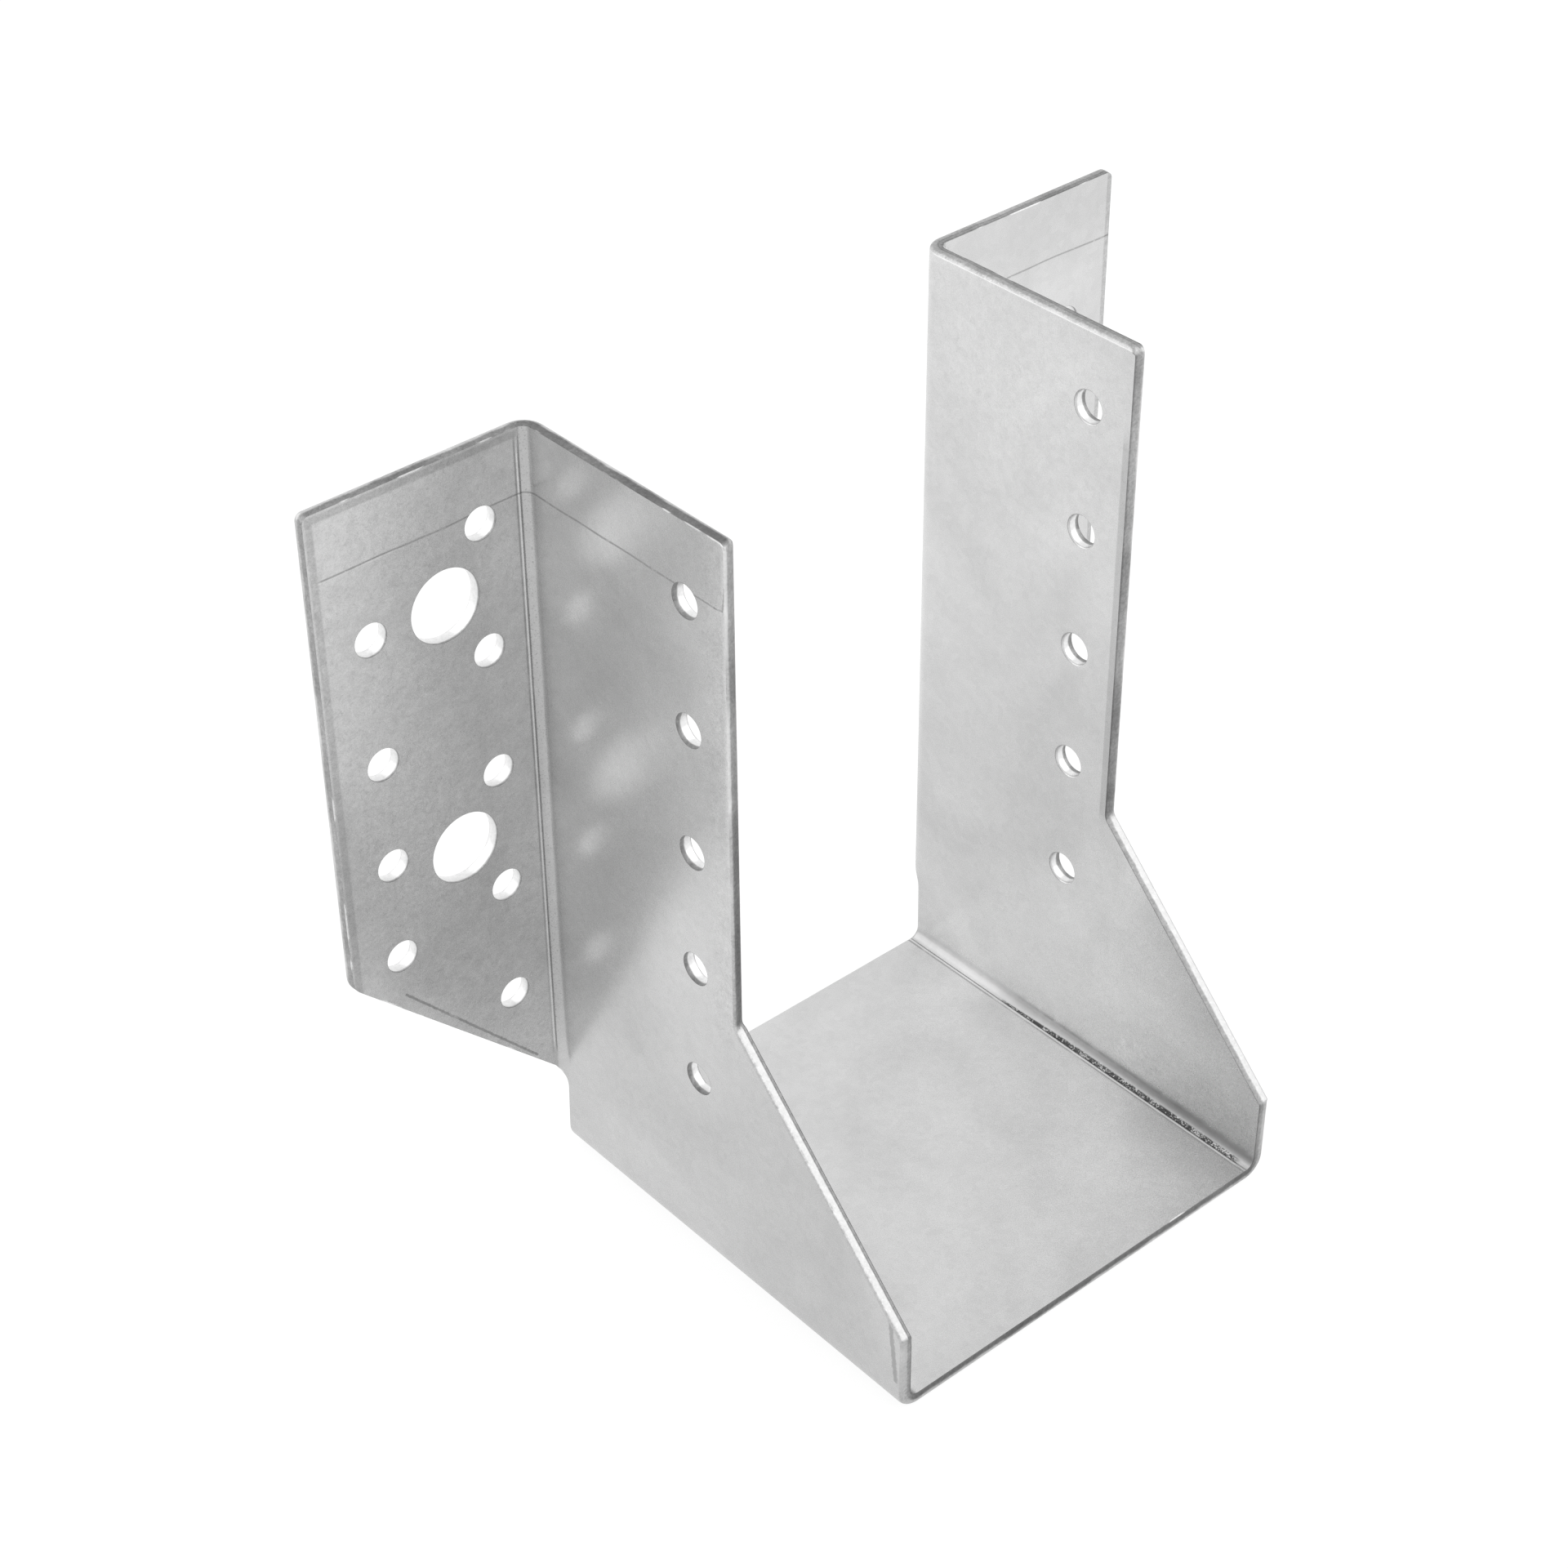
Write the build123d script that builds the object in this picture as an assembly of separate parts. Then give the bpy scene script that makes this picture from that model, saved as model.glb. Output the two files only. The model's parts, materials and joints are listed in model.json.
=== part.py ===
from build123d import *
from math import cos, pi, sin, sqrt
import os

# Joist hanger folded from one sheet, in millimetres, +Z up.
# X runs across the joist and the hanger is the same on both sides of X = 0.
# The flanges' back faces, which go against the header, are at the +Y end.
# The seat's underside is at Z = 0.

sheet = 2.0            # thickness of the sheet
joist_width = 70.0     # clear width between the side plates
total_height = 126.0   # underside of the seat to the top edges
depth = 76.0           # back faces of the flanges to the front of the seat
bend_inside = 1.5      # inside radius of all four bends
plate_width = 42.0     # back faces of the flanges to the plates' front edges
toe_height = 14.0      # top of the short upright edge at the front of the seat
flange_reach = 35.0    # outer face of a plate to the free edge of its flange
flange_foot = 14.5     # where a flange's slanted lower edge would meet the plate
seat_setback = 2.5     # rear edge of the seat, in front of the back faces

top_corner = 1.2       # rounding of the upper corners
toe_corner = 1.0       # rounding at the top of the upright front edge
neck_corner = 2.0      # hollow corner where the front edge starts to slant
flange_corner = 3.5    # rounding of a flange's lower outer corner
notch_corner = 3.5     # hollow corner between a flange and the foot of its plate

nail_hole = 5.0        # diameter for nails
bolt_hole = 11.0       # diameter for 10 mm bolts
hole_step = 20.0       # height between neighbouring nail holes
nail_base = 34.0       # height of the lowest nail hole beside each bend
plate_nail_inset = 8.0     # plate's front edge to its nail holes
inner_nail_inset = 8.0     # plate's outer face to the flange's inner nails
bolt_inset = 14.5          # plate's outer face to the bolt holes
outer_nail_inset = 26.5    # plate's outer face to the flange's outer nails
bolt_base = 64.0           # height of the lower bolt hole
outer_nail_heights = (51.0, 67.0, 84.0, 104.0)

# Both slanted edges fall at 45 degrees, so a rise equals a run.
half_width = joist_width / 2
outer_face = half_width + sheet
bend_outside = bend_inside + sheet
bend_middle = bend_inside + sheet / 2
back = depth / 2
front = -depth / 2
plate_front = back - plate_width
slant_top = toe_height + depth - plate_width
seat_rear = back - seat_setback
bend_start = back - bend_outside
axis_x = outer_face + bend_inside
free_edge = outer_face + flange_reach
nail_heights = [nail_base + hole_step * i for i in range(5)]
bolt_heights = [bolt_base + 2 * hole_step * i for i in range(2)]


def rounded(shape, corners):
    """Round the named corners, each given as a point and a radius."""
    for point, radius in corners:
        corner = shape.vertices().sort_by_distance(point)[0]
        shape = fillet(corner, radius)
    return shape


# Seat, its two bends and both side plates: a channel section along Y.
across = Plane(origin=(0, seat_rear, 0), x_dir=(1, 0, 0), z_dir=(0, -1, 0))
outside = across * make_face(Polyline(
    (-outer_face, 0), (outer_face, 0), (outer_face, total_height),
    (-outer_face, total_height), close=True))
outside = rounded(outside, [((x, seat_rear, 0), bend_outside) for x in (-outer_face, outer_face)])
inside = across * make_face(Polyline(
    (-half_width, sheet), (half_width, sheet), (half_width, total_height),
    (-half_width, total_height), close=True))
inside = rounded(inside, [((x, seat_rear, sheet), bend_inside) for x in (-half_width, half_width)])
channel = extrude(outside - inside, seat_rear - front)

# The flat pattern of the corner below a flange. Lengths along the sheet are
# measured from the line where the bend starts. The flange's slanted edge
# runs on through the bend to the upright rear edge of the plate's foot.
bend_length = bend_middle * pi / 2
foot_length = seat_rear - bend_start
slant_at_flange = flange_foot + bend_inside
slant_at_foot = slant_at_flange - (bend_length - foot_length)
notch_centre = slant_at_foot - notch_corner * (sqrt(2) - 1)
foot_bottom = bend_outside + 0.5

# Side view of a plate.
side = Plane(origin=(-outer_face - 1, 0, 0), x_dir=(0, 1, 0), z_dir=(1, 0, 0))
outline = side * make_face(Polyline(
    (front, 0), (seat_rear, 0), (seat_rear, foot_bottom), (bend_start, foot_bottom),
    (bend_start, total_height), (plate_front, total_height), (plate_front, slant_top),
    (front, toe_height), close=True))
outline = rounded(outline, [
    ((side.origin.X, plate_front, total_height), top_corner),
    ((side.origin.X, plate_front, slant_top), neck_corner),
    ((side.origin.X, front, toe_height), toe_corner)])
body = channel & extrude(outline, 2 * outer_face + 2)

# The bend between the right plate and its flange. Its lower end is cut
# square to the sheet along the flat pattern's notch and slanted edge.
corner_line = Plane(origin=(axis_x, bend_start, 0), x_dir=(1, 0, 0), z_dir=(0, 0, 1))


def on_bend(angle, radius, height):
    """Point on the bend at an angle from the plate, from its axis line."""
    return (axis_x - radius * cos(angle), bend_start + radius * sin(angle), height)


def seen_square(length, height):
    """Point of the flat pattern seen square to the middle of the bend."""
    return (bend_outside * sin(length / bend_middle - pi / 4), height)


def sector(angle, bottom, top):
    """Part of the bend, from the plate to an angle."""
    start_out, end_out = on_bend(0, bend_outside, bottom), on_bend(angle, bend_outside, bottom)
    start_in, end_in = on_bend(0, bend_inside, bottom), on_bend(angle, bend_inside, bottom)
    ring = make_face([
        ThreePointArc(start_out, on_bend(angle / 2, bend_outside, bottom), end_out),
        Line(end_out, end_in),
        ThreePointArc(end_in, on_bend(angle / 2, bend_inside, bottom), start_in),
        Line(start_in, start_out)])
    return ring if top == bottom else extrude(ring, top - bottom, dir=(0, 0, 1))


skin = sector(pi / 2, foot_bottom, total_height).faces().filter_by(GeomType.CYLINDER)
skin = skin.sort_by(lambda f: f.radius)[-1]
arc_points = [
    (foot_length + notch_corner * (1 - cos(a)), notch_centre + notch_corner * sin(a))
    for a in [i * pi / 4 / 8 for i in range(9)]]
slant_points = [
    (arc_points[-1][0] + (bend_length - arc_points[-1][0]) * i / 6,
     arc_points[-1][1] + (bend_length - arc_points[-1][0]) * i / 6) for i in range(7)]
low_start = seen_square(0, notch_centre)
low_end = seen_square(bend_length, slant_at_flange)
facing = Plane(
    origin=(axis_x, bend_start, 0), x_dir=(sin(pi / 4), cos(pi / 4), 0),
    z_dir=(cos(pi / 4), -sin(pi / 4), 0))
view = facing * make_face([
    Line((low_start[0] - 1, total_height + 1), (low_start[0] - 1, low_start[1])),
    Line((low_start[0] - 1, low_start[1]), seen_square(foot_length, notch_centre)),
    Spline([seen_square(*p) for p in arc_points]),
    Spline([seen_square(*p) for p in slant_points]),
    Line(low_end, (low_end[0] + 1, low_end[1] + sqrt(2))),
    Line((low_end[0] + 1, low_end[1] + sqrt(2)), (low_end[0] + 1, total_height + 1)),
    Line((low_end[0] + 1, total_height + 1), (low_start[0] - 1, total_height + 1))])
prism = extrude(view, -2 * bend_outside)
bend_skin = (skin & prism).faces()[0]
inward = Vector(*on_bend(pi / 4, 0, 60)) - Vector(*on_bend(pi / 4, 1, 60))
bend = Solid.thicken(bend_skin, sheet, normal_override=inward)

# Foot of the plate behind the bend line: flat above the seat, and drawn
# into the bend towards its upper end.
flat_end = corner_line.offset(foot_bottom) * make_face(Polyline(
    (-bend_outside, 0), (-bend_inside, 0), (-bend_inside, foot_length),
    (-bend_outside, foot_length), close=True))
curved_end = sector(foot_length / bend_middle, notch_centre, notch_centre)
foot = loft([flat_end, curved_end], ruled=True)

# Right flange.
flange_view = Plane(origin=(0, back, 0), x_dir=(1, 0, 0), z_dir=(0, -1, 0))
flange = flange_view * make_face(Polyline(
    (axis_x, slant_at_flange), (free_edge, flange_foot + flange_reach),
    (free_edge, total_height), (axis_x, total_height), close=True))
flange = rounded(flange, [
    ((free_edge, back, total_height), top_corner),
    ((free_edge, back, flange_foot + flange_reach), flange_corner)])
flange = extrude(flange, sheet)

wing = Part() + [foot, bend, flange]
body = body + wing + mirror(wing, about=Plane.YZ)

# Holes. Those in the plates go straight through both of them.
through = 2 * outer_face + 2
for z in nail_heights:
    axis = Plane(origin=(0, plate_front + plate_nail_inset, z), z_dir=(1, 0, 0))
    body -= axis * Cylinder(nail_hole / 2, through)
flange_holes = [(inner_nail_inset, z, nail_hole) for z in nail_heights]
flange_holes += [(bolt_inset, z, bolt_hole) for z in bolt_heights]
flange_holes += [(outer_nail_inset, z, nail_hole) for z in outer_nail_heights]
for inset, z, diameter in flange_holes:
    for side_sign in (-1, 1):
        centre = (side_sign * (outer_face + inset), back - sheet / 2, z)
        body -= Plane(origin=centre, z_dir=(0, 1, 0)) * Cylinder(diameter / 2, 2 * sheet)

hanger = body.solids()[0] if len(body.solids()) == 1 else body
print("solids", len(body.solids()), "valid", hanger.is_valid)
print("volume", round(hanger.volume, 1), "box", hanger.bounding_box())
os.makedirs("parts", exist_ok=True)
export_step(hanger, "parts/hanger.step")
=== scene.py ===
# A joist hanger folded from one galvanised sheet.
# The sheet is drawn flat, with its cut edges, holes and tool marks, and then folded.
import json
import bpy
import numpy as np
from math import cos, pi, radians, sin, sqrt
from mathutils import Matrix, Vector
from mathutils.geometry import delaunay_2d_cdt


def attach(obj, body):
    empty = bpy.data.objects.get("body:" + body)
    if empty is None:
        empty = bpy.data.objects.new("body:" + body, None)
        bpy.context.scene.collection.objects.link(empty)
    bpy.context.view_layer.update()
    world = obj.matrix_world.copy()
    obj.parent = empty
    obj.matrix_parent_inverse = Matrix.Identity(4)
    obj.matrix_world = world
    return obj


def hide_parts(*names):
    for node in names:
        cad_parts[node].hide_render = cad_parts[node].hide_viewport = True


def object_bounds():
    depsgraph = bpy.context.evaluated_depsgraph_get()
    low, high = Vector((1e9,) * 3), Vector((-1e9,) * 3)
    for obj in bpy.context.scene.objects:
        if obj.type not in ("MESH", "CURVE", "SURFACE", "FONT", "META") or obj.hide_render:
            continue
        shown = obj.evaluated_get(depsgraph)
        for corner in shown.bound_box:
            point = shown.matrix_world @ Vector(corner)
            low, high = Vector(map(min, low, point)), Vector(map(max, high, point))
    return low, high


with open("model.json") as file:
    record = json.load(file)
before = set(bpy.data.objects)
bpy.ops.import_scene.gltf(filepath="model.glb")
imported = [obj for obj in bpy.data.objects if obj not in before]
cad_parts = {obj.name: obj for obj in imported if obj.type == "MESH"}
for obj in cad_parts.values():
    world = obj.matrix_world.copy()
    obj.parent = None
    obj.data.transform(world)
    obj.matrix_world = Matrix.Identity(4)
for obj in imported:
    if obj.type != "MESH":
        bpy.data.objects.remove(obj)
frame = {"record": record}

cadLow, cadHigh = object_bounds()
toMetres, toMillimetres = 0.001, 1000
print("frame loaded, box", tuple(cadLow), tuple(cadHigh))

# The hanger, in millimetres. Its overall sizes come from the frame.
hanger = dict(
    sheet=2.0, joistWidth=70.0, bendInside=1.5,
    plateWidth=42.0, toeHeight=14.0, flangeFoot=14.5, seatSetback=2.5,
    topCorner=1.2, toeCorner=1.0, neckCorner=2.0, flangeCorner=3.5, notchCorner=3.5,
    footClear=0.5,          # flat part of the plate's foot above the seat's bend
)
halfWidth, depth, height = (toMillimetres * v for v in (cadHigh.x, cadHigh.y - cadLow.y, cadHigh.z))
halfSheet = hanger["sheet"] / 2
bendMiddle = hanger["bendInside"] + halfSheet
bendOutside = hanger["bendInside"] + hanger["sheet"]
bendLength = bendMiddle * pi / 2
backY, frontY = depth / 2, -depth / 2
seatHalf = hanger["joistWidth"] / 2 - hanger["bendInside"]     # flat half of the seat
seatBendEnd = seatHalf + bendLength
plateX = hanger["joistWidth"] / 2 + halfSheet                  # middle of a plate
bendStart = backY - bendOutside                                # where a plate meets its flange's bend
flangeStart = bendStart + bendLength
axisX = plateX + bendMiddle
plateFront = backY - hanger["plateWidth"]
footLength = backY - hanger["seatSetback"] - bendStart
slantAtFlange = hanger["flangeFoot"] + hanger["bendInside"]
notchCentre = slantAtFlange - (bendLength - footLength) - hanger["notchCorner"] * (sqrt(2) - 1)
footBottom = bendOutside + hanger["footClear"]


def upPlate(z):
    # length along the sheet, from the middle of the seat, of a height on a plate
    return seatBendEnd + z - bendOutside


def outFlange(x):
    # length along the sheet, in the depth's direction, of a place across a flange
    return flangeStart + x - axisX


def fold(u, v, n):
    # The flat sheet lies in u and v, with n through its thickness, from -1 on the outer skin to
    # 1 on the inner one. First fold: u runs along the seat, then round an arc about the bend's
    # axis, then straight up the plate. Second fold: past the bend line, v turns round an arc
    # about an upright axis and runs out along the flange. The plate's foot, below the notch,
    # goes from flat to this second arc in proportion to its height.
    side, a = np.sign(u), np.abs(u)
    turn = np.clip((a - seatHalf) / bendMiddle, 0, pi / 2)
    x = np.minimum(a, seatHalf) + (bendMiddle - n * halfSheet) * np.sin(turn)
    z = bendOutside - (bendMiddle - n * halfSheet) * np.cos(turn) + np.maximum(a - seatBendEnd, 0)
    swing = np.clip((v - bendStart) / bendMiddle, 0, pi / 2)
    round2 = bendMiddle + n * halfSheet
    bentX = axisX - round2 * np.cos(swing) + np.maximum(v - flangeStart, 0)
    bentY = np.minimum(v, bendStart) + round2 * np.sin(swing)
    share = np.clip((z - footBottom) / (notchCentre - footBottom), 0, 1)
    x = x + share * (bentX - (plateX - n * halfSheet))
    y = v + share * (bentY - v)
    return np.stack([side * x, y, z], -1)


# Edges of the sheet, in millimetres. n runs from -1 on the outer skin to 1 on the inner one.
edges = dict(
    step=0.5,               # spacing along the outline
    arcPoints=9,
    reach=0.95,             # how far an edge reaches in over the skins
    lip=0.06,               # thin strip of skin beside a sharp corner
    burrReach=0.3,
    ends=4, middle=13,      # points across an edge: at each end, and between them
    rollPoints=7,
)


def flipped(profile):
    # the same edge seen from the other skin
    return [(inset, -n) for inset, n in reversed(profile)]


def sharpEnd(inset):
    # from the outer skin to a sharp corner
    insets = (edges["reach"], inset + edges["burrReach"], inset + edges["lip"], inset)
    return [(value, -1) for value in insets]


def rolledEnd(radius, inset=0.0):
    # a quarter turn over into the inner skin
    turn = np.linspace(0, pi / 2, edges["rollPoints"])
    roll = [(inset + radius * (1 - cos(a)), 1 - radius + radius * sin(a)) for a in turn]
    return roll + [(edges["reach"], 1)]


# Each kind of edge has a profile, from the outer skin to the inner one, and its bare metal's grey
# at levels n, which holds painted highlights and painted shade besides the cut's own bands. A sheared
# edge is dark and torn beside its sharp corner, partly as painted shade, and lighter where it rolls
# over into the other skin, as a painted highlight on the rolled edge.
sheared = sharpEnd(0.08) + [(0.04, -0.5), (0, 0)] + rolledEnd(0.75)
punched = sharpEnd(0.06) + [(0.03, -0.6), (0, -0.2)] + rolledEnd(0.25)
softened = flipped(rolledEnd(0.3))
burred = flipped(sharpEnd(0.08))
edgeKinds = dict(
    topLeft=dict(runs=(8,), profile=sheared, tones=(
        (-1, 0.17), (-0.8, 0.19), (0.12, 0.17), (0.26, 0.36), (0.4, 0.54), (1, 0.60))),
    topRight=dict(runs=(2,), profile=sheared, tones=(
        (-1, 0.30), (-0.85, 0.18), (-0.7, 0.30), (-0.42, 0.30), (-0.34, 0.19), (-0.2, 0.32), (-0.05, 0.40),
        (0.3, 0.42), (0.6, 0.44), (0.8, 0.50), (1, 0.60))),
    flangeTop=dict(runs=(13,), profile=sheared, tones=(
        (-1, 0.26), (-0.2, 0.24), (-0.05, 0.30), (0.1, 0.52), (0.5, 0.62), (1, 0.66))),
    side=dict(runs=(3, 4, 5, 6, 7), profile=sheared, tones=(
        (-1, 0.34), (-0.3, 0.35), (-0.05, 0.38), (0.1, 0.56), (1, 0.66))),
    seatFront=dict(runs=(11,), profile=flipped(sheared), tones=(
        (-1, 0.60), (-0.3, 0.56), (-0.06, 0.46), (0.08, 0.20), (0.4, 0.15), (0.9, 0.18), (1, 0.24))),
    toe=dict(runs=(12,), profile=flipped(sheared), tones=(
        (-1, 0.56), (-0.05, 0.50), (0.1, 0.48), (0.28, 0.33), (0.78, 0.31), (0.88, 0.18), (1, 0.17))),
    uprightLeft=dict(runs=(9,), profile=softened + [(0.1, -0.3)] + rolledEnd(0.55, 0.35), tones=(
        (-1, 0.62), (-0.75, 0.60), (-0.55, 0.34), (0.2, 0.30), (1, 0.30))),
    uprightRight=dict(runs=(1,), profile=softened + flipped(sharpEnd(0.03)), tones=(
        (-1, 0.66), (-0.75, 0.58), (-0.5, 0.37), (0, 0.32), (0.6, 0.31), (0.8, 0.22), (1, 0.19))),
    slantLeft=dict(runs=(10,), profile=softened + [(0, 0.36), (0.05, 0.42)] + rolledEnd(0.3), tones=(
        (-1, 0.58), (-0.74, 0.50), (-0.64, 0.34), (-0.56, 0.57), (0.32, 0.58), (0.4, 0.19), (0.6, 0.25),
        (1, 0.27))),
    slantRight=dict(runs=(0,), profile=softened + [(0, 0.18), (0.05, 0.24)] + burred, tones=(
        (-1, 0.56), (-0.8, 0.57), (0.1, 0.58), (0.2, 0.34), (0.35, 0.29), (0.9, 0.27), (0.97, 0.16),
        (1, 0.15))),
    flangeHole=dict(runs=(-2,), profile=punched, tones=(
        (-1, 0.26), (-0.86, 0.32), (-0.74, 0.42), (-0.64, 0.80), (0.7, 0.90), (0.9, 0.7), (1, 0.6))),
    plateHole=dict(runs=(-1,), profile=punched, tones=(
        (-1, 0.22), (-0.85, 0.26), (-0.4, 0.30), (-0.3, 0.42), (-0.22, 0.85), (0.7, 0.90), (0.9, 0.7),
        (1, 0.6))),
)
edgeLook = dict(
    wander=0.16,            # how far a band's border strays, in n
    slantCalm=0.6,          # how much less it strays on the slanted edges
    uneven=0.18,            # how much an edge's grey varies along it
    # running means of each random pattern, on a coarse and a fine scale
    wanderMeans=(12, 2), unevenMeans=(60, 8), burrMeans=(16, 3),
    burrHighlight=0.95, burrFrom=0.5, plainBurr=0.25, burrSteepness=3, lumpSteepness=4,
    # the lump is a painted glint on the burr
    burrLump=(upPlate(height), -1.7), lumpReach=1.3,    # the left plate's top, beside its front corner
    paleHeight=85, paleRise=40, paleShare=0.25,     # the upright edges are paler near their tops
    coverInset=0.5, coverFade=0.2, skinLevel=0.999, plainTone=0.6,
)


def roundedOutline(corners, step, arcPoints):
    # Each corner is a place and a radius. An arc touches both straight runs at
    # radius * tan(half the turn) from the corner, and its points are turned about its centre.
    places, radii = corners[:, :2], corners[:, 2]
    before, after = np.roll(places, 1, 0), np.roll(places, -1, 0)
    inDir = (places - before) / np.linalg.norm(places - before, axis=1)[:, None]
    outDir = (after - places) / np.linalg.norm(after - places, axis=1)[:, None]
    turn = np.arctan2(inDir[:, 0] * outDir[:, 1] - inDir[:, 1] * outDir[:, 0], (inDir * outDir).sum(1))
    reach = radii * np.tan(np.abs(turn) / 2)
    start = places - inDir * reach[:, None]
    left = np.stack([-inDir[:, 1], inDir[:, 0]], 1) * np.sign(turn)[:, None]
    centre = start + left * radii[:, None]
    angle = turn[:, None] * np.linspace(0, 1, arcPoints)
    arm = (start - centre)[:, None, :]
    arcs = centre[:, None, :] + np.stack([
        arm[..., 0] * np.cos(angle) - arm[..., 1] * np.sin(angle),
        arm[..., 0] * np.sin(angle) + arm[..., 1] * np.cos(angle)], -1)
    loop, run = [], []
    for i in range(len(corners)):
        following = arcs[(i + 1) % len(corners), 0]
        count = max(2, int(np.linalg.norm(following - arcs[i, -1]) / step) + 1)
        between = np.linspace(0, 1, count + 1)[1:-1, None]
        loop += [arcs[i], arcs[i, -1] + (following - arcs[i, -1]) * between]
        firstHalf = np.arange(arcPoints) < arcPoints / 2
        run += [np.where(firstHalf, (i - 1) % len(corners), i), np.full(count - 1, i)]
    return np.concatenate(loop), np.concatenate(run)


def circle(centre, radius, count):
    # points at equal angles round the centre, clockwise, so that the sheet lies on the left of
    # the loop as it does of the outline
    angle = -np.arange(count) * 2 * pi / count
    return np.asarray(centre) + radius * np.stack([np.cos(angle), np.sin(angle)], 1)


def holesFromRecord(record):
    # every hole of the mounts, as (u, v, radius) on the flat sheet
    found = []
    for mount in record["mounts"]:
        dims, at = mount["dims"], [toMillimetres * c for c in mount["pos_m"]]
        if mount["kind"] not in ("bolt_pattern", "bore"):
            continue
        radius = dims.get("hole_r_mm", dims.get("r_mm"))
        onFlange = abs(mount["axis"][1]) > 0.5
        across = dims.get("spacing_x_mm", 0) / 2
        upright = dims.get("spacing_y_mm", 0) / 2
        for z in sorted({at[2] - upright, at[2] + upright}):
            if onFlange:
                found += [(s * upPlate(z), outFlange(across), radius) for s in (-1, 1)]
            else:
                found.append((np.sign(at[0]) * upPlate(z), at[1], radius))
    return found


holes = holesFromRecord(frame["record"])
circlePoints = dict(nail=40, bolt=64, boltFrom=4.0)     # bolt holes have a larger radius than boltFrom
print("holes", len(holes))

rightCorners = [
    (upPlate(hanger["toeHeight"]), frontY, hanger["toeCorner"]),
    (upPlate(hanger["toeHeight"] + depth - hanger["plateWidth"]), plateFront, hanger["neckCorner"]),
    (upPlate(height), plateFront, hanger["topCorner"]),
    (upPlate(height), outFlange(halfWidth), hanger["topCorner"]),
    (upPlate(slantAtFlange + halfWidth - axisX), outFlange(halfWidth), hanger["flangeCorner"]),
    (upPlate(slantAtFlange - bendLength + footLength), bendStart + footLength, hanger["notchCorner"]),
]
leftCorners = [(-u, v, r) for u, v, r in reversed(rightCorners)]
corners = np.array(rightCorners + leftCorners)
outline, runs = roundedOutline(corners, edges["step"], edges["arcPoints"])

loops = [outline]
for u, v, r in holes:
    loops.append(circle((u, v), r, circlePoints["bolt" if r > circlePoints["boltFrom"] else "nail"]))
loopEnds = np.cumsum([len(p) for p in loops])
path = np.concatenate(loops)
following = np.arange(1, len(path) + 1)
following[loopEnds - 1] = np.concatenate([[0], loopEnds[:-1]])
previous = np.empty_like(following)
previous[following] = np.arange(len(path))
onward = path[following] - path[previous]
onward /= np.linalg.norm(onward, axis=1)[:, None]
inward = np.stack([-onward[:, 1], onward[:, 0]], 1)

# Each run of the outline has the number of the corner that it starts from. The short upright edges
# at the ends of the seat's front, the left flange's top and the holes have numbers of their own.
firstRun = {kind: made["runs"][0] for kind, made in edgeKinds.items()}
runOfPath = np.full(len(path), float(firstRun["plateHole"]))
runOfPath[:loopEnds[0]] = runs
pastSeat, onFlange = np.abs(path[:, 0]) > seatHalf + bendLength / 2, path[:, 1] > flangeStart
runOfPath[(runOfPath == firstRun["seatFront"]) & pastSeat] = firstRun["toe"]
runOfPath[(runOfPath == firstRun["topLeft"]) & onFlange] = firstRun["flangeTop"]
runOfPath[(runOfPath == firstRun["plateHole"]) & onFlange] = firstRun["flangeHole"]


def smoothed(values, times):
    # running mean over the neighbours on the path
    for _ in range(times):
        values = (values + values[following] + values[previous]) / 3
    return values


# The share of each kind at each point of the path, blended where two kinds meet.
blendMeans, leastTotal = 2, 0.01
kindShare = {}
for kind, made in edgeKinds.items():
    kindShare[kind] = smoothed(np.isin(runOfPath, made["runs"]).astype(float), blendMeans)
total = np.maximum(sum(kindShare.values()), leastTotal)
kindShare = {kind: (share / total)[:, None] for kind, share in kindShare.items()}

seed = 5
random = np.random.default_rng(seed)
scaleWeights, scaleSpread = (0.7, 0.5), 1.5


def wandering(means):
    # smooth random values along the path, about -1 to 1, on two scales
    mixed = 0
    for times, weight in zip(means, scaleWeights):
        rough = smoothed(random.normal(size=len(path)), times)
        mixed = mixed + weight * rough / rough.std()
    return mixed / scaleSpread


def across(profile):
    # the points at both ends of a profile as they are, and evenly spaced ones between them
    profile, ends = np.array(profile, float), edges["ends"]
    between = profile[ends - 1:1 - ends]
    way = np.concatenate([[0], np.cumsum(np.linalg.norm(np.diff(between, axis=0), axis=1))])
    stops = np.linspace(0, way[-1], edges["middle"] + 2)[1:-1]
    middle = np.stack([np.interp(stops, way, between[:, i]) for i in (0, 1)], 1)
    return np.concatenate([profile[:ends], middle, profile[-ends:]])


shape = sum(kindShare[kind][..., None] * across(made["profile"]) for kind, made in edgeKinds.items())
inset, level = shape[..., 0], shape[..., 1]
rows = inset.shape[1]
holeShare = kindShare["plateHole"] + kindShare["flangeHole"]
seatShare = kindShare["seatFront"] + kindShare["toe"]
slantShare = kindShare["slantLeft"] + kindShare["slantRight"]
uprightShare = kindShare["uprightLeft"] + kindShare["uprightRight"]
torn = 1 - holeShare - slantShare - uprightShare

# A band's border strays most in the middle of an edge, and not at its corners.
stray = edgeLook["wander"] * wandering(edgeLook["wanderMeans"])[:, None]
stray = level + stray * (1 - np.abs(level)) * (1 - edgeLook["slantCalm"] * slantShare)
tone = 0
for kind, share in kindShare.items():
    levels, greys = np.array(edgeKinds[kind]["tones"]).T
    tone = tone + share * np.interp(stray, levels, greys)
uneven = edgeLook["uneven"] * wandering(edgeLook["unevenMeans"])[:, None]
tone = tone * (1 + uneven * (1 - holeShare) * (1 - slantShare))
pathHeight = np.abs(path[:, 0]) - seatBendEnd + bendOutside
paler = np.clip((pathHeight - edgeLook["paleHeight"]) / edgeLook["paleRise"], -1, 1)[:, None]
tone = tone * (1 + edgeLook["paleShare"] * paler * uprightShare)
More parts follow.
